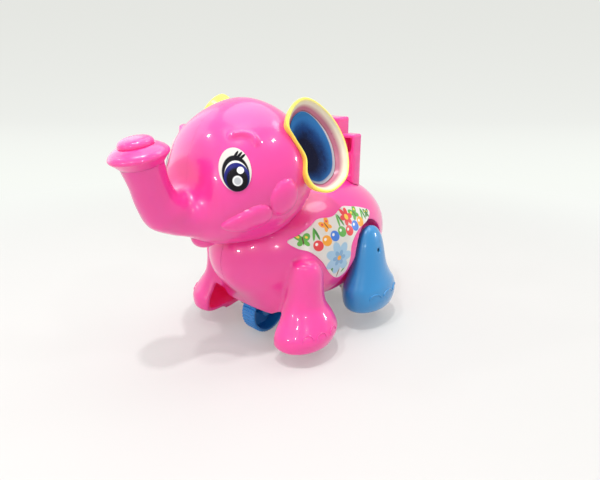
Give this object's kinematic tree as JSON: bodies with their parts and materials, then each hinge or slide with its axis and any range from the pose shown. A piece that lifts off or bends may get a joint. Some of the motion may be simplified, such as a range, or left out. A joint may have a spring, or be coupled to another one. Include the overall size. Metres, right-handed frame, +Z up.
{
  "type": "pull-along elephant toy",
  "caption": "Pink moulded plastic elephant toy on a ribbed drive wheel, with a raised trunk, cupped yellow ears and blue hind legs that swing as it is pulled along.",
  "frame": {"origin": "on the floor under the middle of the toy's box", "axes": "+X to the elephant's left, +Y to its tail, +Z up"},
  "size_m": [0.0982, 0.1645, 0.1222],
  "materials": {
    "pink_plastic": "moulded, glossy, slightly translucent",
    "blue_plastic": "moulded, glossy",
    "yellow_plastic": "moulded, glossy",
    "printed_label": "printed film label with a white border",
    "white_plastic": "moulded, plain",
    "plated_steel": "bright plated"
  },
  "bodies": {
    "root": {"back_bracket": "pink_plastic", "base_plate": "white_plastic", "body_shell_left": "pink_plastic", "body_shell_right": "pink_plastic", "ear_left": "yellow_plastic", "ear_right": "yellow_plastic", "ear_sticker_left": "printed_label", "ear_sticker_right": "printed_label", "eye_sticker_left": "printed_label", "eye_sticker_right": "printed_label", "gear_plate_inner": "white_plastic", "gear_plate_outer": "white_plastic", "gear_spacer_front": "plated_steel", "gear_spacer_rear": "plated_steel", "head_shell_left": "pink_plastic", "head_shell_right": "pink_plastic", "hind_leg_axle": "plated_steel", "plate_screw_front_left": "plated_steel", "plate_screw_front_right": "plated_steel", "plate_screw_rear_left": "plated_steel", "plate_screw_rear_right": "plated_steel", "return_spring": "plated_steel", "shell_screw_back": "plated_steel", "shell_screw_chest": "plated_steel", "shell_screw_rump": "plated_steel", "side_sticker_left": "printed_label", "side_sticker_right": "printed_label", "trunk_tip": "pink_plastic"},
    "drive_wheel": {"drive_wheel": "blue_plastic", "drive_axle": "plated_steel", "drive_pinion": "white_plastic"},
    "line_spool": {"spool_gear": "white_plastic", "line_spool": "yellow_plastic", "spool_shaft": "plated_steel"},
    "rear_wheels": {"rear_axle": "plated_steel", "rear_wheel_left": "white_plastic", "rear_wheel_right": "white_plastic"},
    "hind_leg_left": {"hind_leg_left": "blue_plastic"},
    "hind_leg_right": {"hind_leg_right": "blue_plastic"}
  },
  "joints": [
    {"name": "drive_wheel_turn", "type": "hinge", "parent": "root", "child": "drive_wheel", "pos_m": [0, -0.0082, 0.0122], "axis": [1, 0, 0], "continuous": true},
    {"name": "line_spool_turn", "type": "hinge", "parent": "root", "child": "line_spool", "pos_m": [0, 0.0023, 0.03039], "axis": [1, 0, 0], "continuous": true},
    {"name": "rear_wheels_turn", "type": "hinge", "parent": "root", "child": "rear_wheels", "pos_m": [0, 0.05321, 0.0085], "axis": [1, 0, 0], "continuous": true},
    {"name": "hind_leg_left_swing", "type": "hinge", "parent": "root", "child": "hind_leg_left", "pos_m": [0.0275, 0.0365, 0.043], "axis": [1, 0, 0], "range_deg": [-12, 12]},
    {"name": "hind_leg_right_swing", "type": "hinge", "parent": "root", "child": "hind_leg_right", "pos_m": [-0.0275, 0.0365, 0.043], "axis": [1, 0, 0], "range_deg": [-12, 12]}
  ],
  "couplings": [
    {"joint": "line_spool_turn", "follows": "drive_wheel_turn", "ratio": -0.5}
  ]
}
